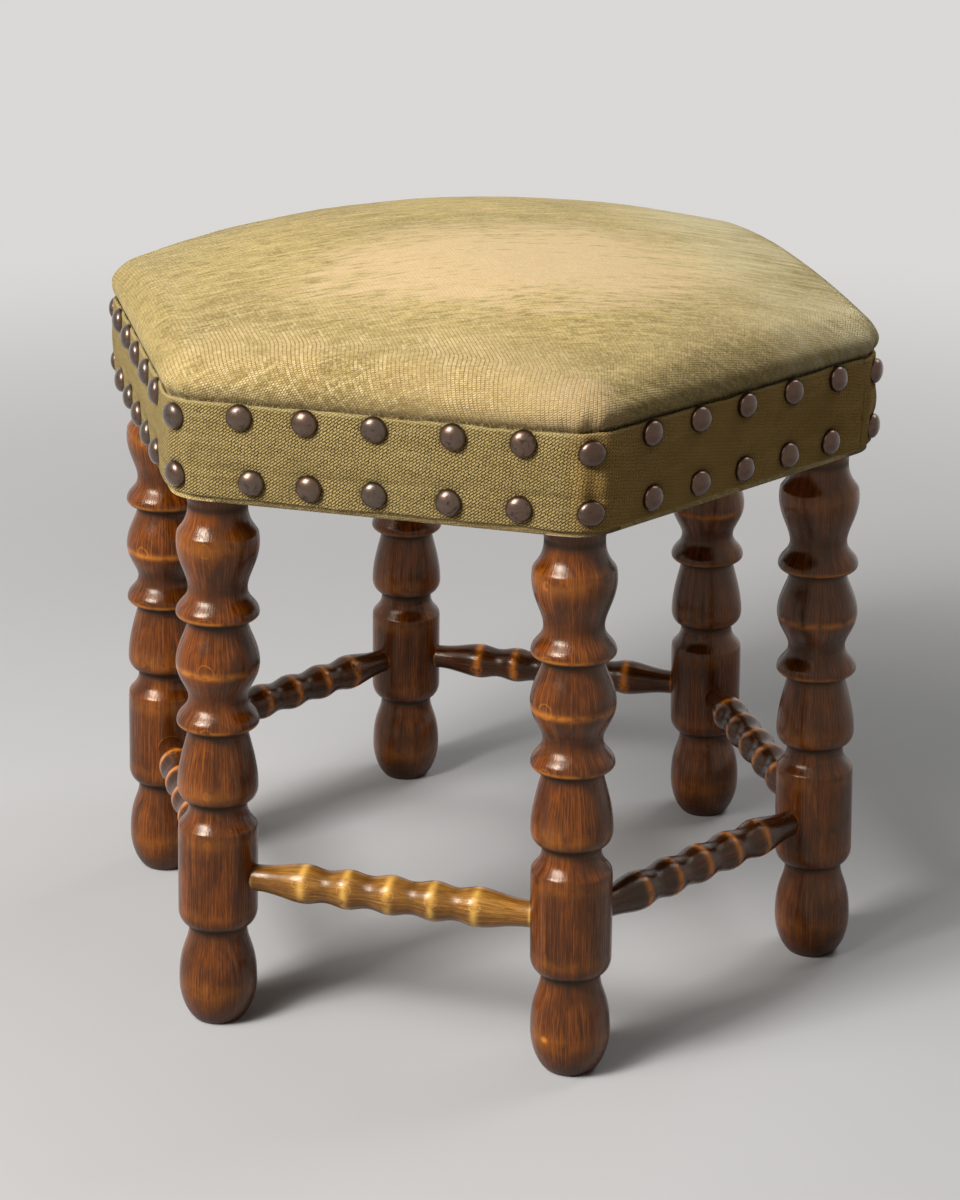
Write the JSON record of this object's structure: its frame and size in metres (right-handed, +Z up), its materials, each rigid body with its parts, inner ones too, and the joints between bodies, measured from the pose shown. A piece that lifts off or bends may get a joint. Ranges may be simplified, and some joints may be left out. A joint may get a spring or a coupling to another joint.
{
  "type": "stool",
  "caption": "Low hexagonal upholstered stool: crowned velvet seat with a nailed cloth border, on splayed bobbin-turned legs tied by turned stretchers.",
  "frame": {"origin": "on the floor under the middle of the seat", "axes": "+Z up, +X to a corner of the hexagon, a flat side faces -Y"},
  "size_m": [0.4152, 0.3676, 0.3776],
  "materials": {
    "leg_wood": "gloss stain and varnish",
    "stretcher_wood": "gloss stain and varnish, rubbed ridges",
    "frame_wood": "bare",
    "jute_webbing": "woven jute",
    "tack_steel": "blued steel",
    "hessian_cloth": "open plain weave",
    "fibre_stuffing": "loose fibre",
    "cotton_wadding": "soft felt",
    "velvet": "worn pile",
    "border_cloth": "twill weave",
    "nail_bronze": "antiqued"
  },
  "bodies": {
    "root": {"leg_1": "leg_wood", "leg_2": "leg_wood", "leg_3": "leg_wood", "leg_4": "leg_wood", "leg_5": "leg_wood", "leg_6": "leg_wood", "stretcher_1": "stretcher_wood", "stretcher_2": "stretcher_wood", "stretcher_3": "stretcher_wood", "stretcher_4": "stretcher_wood", "stretcher_5": "stretcher_wood", "stretcher_6": "stretcher_wood", "rail_1": "frame_wood", "rail_2": "frame_wood", "rail_3": "frame_wood", "rail_4": "frame_wood", "rail_5": "frame_wood", "rail_6": "frame_wood", "mitre_dowels": "frame_wood", "webbing_1": "jute_webbing", "webbing_2": "jute_webbing", "webbing_3": "jute_webbing", "webbing_4": "jute_webbing", "webbing_5": "jute_webbing", "webbing_6": "jute_webbing", "webbing_tacks": "tack_steel", "hessian": "hessian_cloth", "stuffing": "fibre_stuffing", "wadding": "cotton_wadding", "seat_cover": "velvet", "border_band": "border_cloth", "hem_tacks": "tack_steel", "upper_nails": "nail_bronze", "lower_nails": "nail_bronze"}
  },
  "joints": []
}
